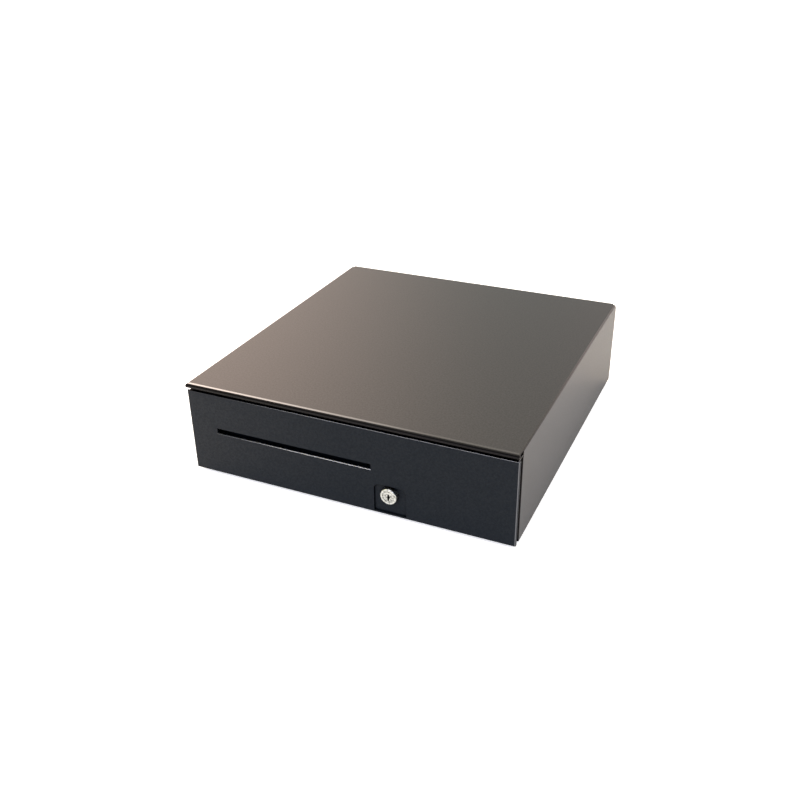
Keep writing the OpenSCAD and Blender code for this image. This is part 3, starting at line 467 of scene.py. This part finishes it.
def sweep(name, path, radius, slot, sides=10):
    """A round wire along a row of points, closed at both ends."""
    mesh = bmesh.new()
    turns = [math.tau * k / sides for k in range(sides)]
    rings = []
    across = None
    for i, place in enumerate(path):
        ahead = (path[min(i + 1, len(path) - 1)] - path[max(i - 1, 0)]).normalized()
        across = ahead.orthogonal() if across is None else across - across.dot(ahead) * ahead
        across.normalize()
        up = ahead.cross(across)
        spokes = [radius * (math.cos(a) * across + math.sin(a) * up) for a in turns]
        rings.append([mesh.verts.new(place + spoke) for spoke in spokes])
    for near, far in zip(rings, rings[1:]):
        for k in range(sides):
            after = (k + 1) % sides
            mesh.faces.new((near[k], near[after], far[after], far[k]))
    mesh.faces.new(list(reversed(rings[0])))
    mesh.faces.new(rings[-1])
    bmesh.ops.recalc_face_normals(mesh, faces=mesh.faces)
    for face in mesh.faces:
        face.smooth = len(face.verts) == 4
    data = bpy.data.meshes.new(name)
    mesh.to_mesh(data)
    mesh.free()
    wire = bpy.data.objects.new(name, data)
    bpy.context.scene.collection.objects.link(wire)
    dress(wire, slot)
    return wire


def coil(start, axis, first, radius, length, turns, closed=0, steps=28):
    """Points of a coil whose axis leaves start. first points from the axis to the coil's start.

    closed is the number of turns at each end that lie tight on each other.
    """
    axis, first = Vector(axis).normalized(), Vector(first).normalized()
    second = axis.cross(first)
    count = round(turns * steps)
    tight = 0.08 if closed else 1.0    # pace of the turns that lie on each other
    paces = [tight if min(i, count - i) < closed * steps else 1.0 for i in range(count)]
    points, along = [], 0.0
    for i in range(count + 1):
        a = math.tau * i / steps
        points.append(start + axis * along + radius * (math.cos(a) * first + math.sin(a) * second))
        if i < count:
            along += length * paces[i] / sum(paces)
    return points


def latch_spring_coil():
    """The torsion spring on the latch's pivot, with a leg at each end."""
    wire = 0.45 * MM
    leg = 6 * MM
    low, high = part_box("latch_spring")
    middle = (low + high) / 2
    radius = (high.z - low.z) / 2 - wire
    start = Vector((low.x + wire, middle.y, middle.z))
    points = coil(start, (1, 0, 0), (0, 0, -1), radius, high.x - low.x - 2 * wire, 6)
    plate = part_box("latch_bracket")[1].y - 2.1 * MM    # the back leg rests just off this face
    front_leg = points[0] - Vector((0, leg, 0))
    back_leg = Vector((points[-1].x, plate, points[-1].z))
    spring = sweep("latch_spring_coil", [front_leg, *points, back_leg], wire, "spring_steel")
    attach(spring, "case")
    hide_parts("latch_spring")


def ejector_spring_coil():
    """The compression spring that pushes the drawer out. The real spring shortens as the ejector goes
    in; this one keeps one length.
    """
    wire = 0.5 * MM
    low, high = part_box("ejector_spring")
    middle = (low + high) / 2
    radius = (high.x - low.x) / 2 - wire
    start = Vector((middle.x, low.y + wire, middle.z))
    length = high.y - low.y - 2 * wire
    spring = sweep(
        "ejector_spring_coil",
        coil(start, (0, 1, 0), (0, 0, 1), radius, length, 7, closed=1),
        wire,
        "spring_steel",
    )
    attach(spring, "case")
    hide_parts("ejector_spring")
    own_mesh(spring)


def note_arm_spring(number):
    """A torsion spring on the rod beside an arm, with a leg over the arm's root."""
    wire = 0.5 * MM
    radius = 3.2 * MM
    length = 7 * MM
    gap = 0.7 * MM
    leg, drop, foot = 6.4 * MM, 0.7 * MM, 5 * MM
    bend = 0.6 * MM
    arm_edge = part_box(f"note_arm_{number}")[1].x
    rod_low, rod_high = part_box("note_arm_rod")
    rod = (rod_low + rod_high) / 2
    start = Vector((arm_edge + gap, rod.y, rod.z))
    points = coil(start, (1, 0, 0), (0, 0, 1), radius, length, 5)
    points = [Vector((p.x, 2 * start.y - p.y, p.z)) for p in points]    # wound the other way round
    elbow = points[0] - Vector((0, leg, drop))
    tip = elbow - Vector((foot, 0, 0))
    corner = [elbow - Vector((bend, 0, 0)), elbow + Vector((0, bend, 0))]
    spring = sweep(f"note_arm_spring_{number}", [tip, *corner, *points], wire, "spring_steel")
    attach(spring, f"note_holder_{number}")


def jack_contacts():
    """The six sprung contacts in the interface jack's mouth: each runs out, turns and runs back down."""
    count = 6
    pitch = 1.02 * MM
    wire = 0.18 * MM
    low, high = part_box("interface_jack")
    for k in range(count):
        x = (low.x + high.x) / 2 + (k - (count - 1) / 2) * pitch
        path = [
            Vector((x, low.y + 3 * MM, high.z - 2.6 * MM)),
            Vector((x, high.y - 3.4 * MM, high.z - 2.8 * MM)),
            Vector((x, high.y - 2.6 * MM, high.z - 3.4 * MM)),
            Vector((x, low.y + 5 * MM, high.z - 6.2 * MM)),
        ]
        contact = sweep(f"jack_contact_{k + 1}", path, wire, "spring_steel", sides=8)
        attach(contact, "case")


latch_spring_coil()
ejector_spring_coil()
for number in range(1, 6):
    note_arm_spring(number)
jack_contacts()

# ---------- floor, light and camera ----------


def studio_floor():
    """A wide pale floor under the feet. The camera sees it a little brighter, so that it reads white."""
    size = 40
    bpy.ops.mesh.primitive_plane_add(size=size, location=(MIDDLE.x, MIDDLE.y, LOW.z))
    floor = bpy.context.object
    floor.name = "studio_floor"
    s = Shader("studio_floor")
    s.put(
        Base_Color=s.mix(s.noise(0.8, 2), (0.89, 0.89, 0.89), (0.91, 0.91, 0.91)),
        Roughness=0.9,
        Specular_IOR_Level=0.1,
        Emission_Color=(1, 1, 1),
        Emission_Strength=s.times(s.add("ShaderNodeLightPath").outputs["Is Camera Ray"], 0.6),
    )
    floor.data.materials.append(s.material)


def softbox(name, place, aim, size, power, colour):
    """A square area light at a place, turned to aim, both measured from the object's middle."""
    data = bpy.data.lights.new(name, "AREA")
    data.shape = "RECTANGLE"
    data.size, data.size_y = size
    data.energy = power
    data.color = colour
    lamp = bpy.data.objects.new(name, data)
    lamp.location = MIDDLE + Vector(place)
    lamp.rotation_euler = (Vector(aim) - Vector(place)).to_track_quat("-Z", "Y").to_euler()
    bpy.context.scene.collection.objects.link(lamp)


# Soft patches of light around the object: azimuth in degrees to the left of the back, elevation,
# the angles from its middle where a patch starts and stops fading, and its colour.
SKY_BASE = (0.612, 0.686, 0.663)
SKY_PATCHES = (
    (60, 25, 5, 40, (3.13, 2.22, 1.84)),
    (-20, 20, 5, 35, (1.06, 0.61, 0.566)),
    (100, 30, 5, 45, (0.76, 0.592, 0.05)),
    (-100, 30, 5, 45, (0.16, 0.16, 0.22)),
    (180, 35, 10, 55, (0.82, 0.83, 1.35)),
    (150, 60, 5, 35, (1.89, 1.72, 1.68)),
)


def sky_patch(tree, azimuth, elevation, inner, outer):
    """1 inside a round patch of the sky and 0 outside it, with a smooth edge."""
    turn, rise = math.radians(azimuth), math.radians(elevation)
    level = math.cos(rise)
    dot = tree.nodes.new("ShaderNodeVectorMath")
    dot.operation = "DOT_PRODUCT"
    dot.inputs[1].default_value = (-math.sin(turn) * level, math.cos(turn) * level, math.sin(rise))
    tree.links.new(tree.nodes["sky_direction"].outputs["Generated"], dot.inputs[0])
    fade = tree.nodes.new("ShaderNodeMapRange")
    fade.interpolation_type = "SMOOTHSTEP"
    fade.inputs["From Min"].default_value = math.cos(math.radians(outer))
    fade.inputs["From Max"].default_value = math.cos(math.radians(inner))
    tree.links.new(dot.outputs["Value"], fade.inputs["Value"])
    return fade.outputs["Result"]


def studio_light():
    """The sky's even light with its patches, and one large soft lamp overhead."""
    world = bpy.data.worlds.new("studio")
    world.use_nodes = True
    tree = world.node_tree
    direction = tree.nodes.new("ShaderNodeTexCoord")
    direction.name = "sky_direction"
    total = None
    for azimuth, elevation, inner, outer, colour in SKY_PATCHES:
        patch = tree.nodes.new("ShaderNodeVectorMath")
        patch.operation = "MULTIPLY_ADD"
        tree.links.new(sky_patch(tree, azimuth, elevation, inner, outer), patch.inputs[0])
        patch.inputs[1].default_value = colour
        if total is None:
            patch.inputs[2].default_value = SKY_BASE
        else:
            tree.links.new(total, patch.inputs[2])
        total = patch.outputs["Vector"]
    seen = tree.nodes.new("ShaderNodeMix")             # the camera itself sees plain white
    seen.data_type = "RGBA"
    tree.links.new(tree.nodes.new("ShaderNodeLightPath").outputs["Is Camera Ray"], seen.inputs[0])
    tree.links.new(total, seen.inputs[6])
    seen.inputs[7].default_value = (1, 1, 1, 1)
    background = tree.nodes["Background"]
    tree.links.new(seen.outputs[2], background.inputs["Color"])
    background.inputs["Strength"].default_value = 1.0
    bpy.context.scene.world = world
    softbox("overhead", (0, 0, 3.0), (0, 0, 0), (4.0, 4.0), 48, (1.0, 0.777, 0.4))


def view_camera():
    """The camera stands in front, to the right and above, and looks down at the object."""
    offset = Vector((0.426, -0.978, 0.548))   # from the middle of the object's box
    turn, dip, roll = (math.radians(a) for a in (24.88, 28.29, -0.94))
    level = math.cos(dip)
    forward = Vector((-math.sin(turn) * level, math.cos(turn) * level, -math.sin(dip)))
    data = bpy.data.cameras.new("view")
    data.sensor_width = 36
    data.lens = 41.08
    camera = bpy.data.objects.new("view", data)
    camera.location = MIDDLE + offset
    camera.rotation_mode = "QUATERNION"
    camera.rotation_quaternion = forward.to_track_quat("-Z", "Y") @ Quaternion((0, 0, 1), roll)
    bpy.context.scene.collection.objects.link(camera)
    bpy.context.scene.camera = camera


studio_floor()
studio_light()
view_camera()
bpy.context.scene.view_settings.view_transform = "Standard"
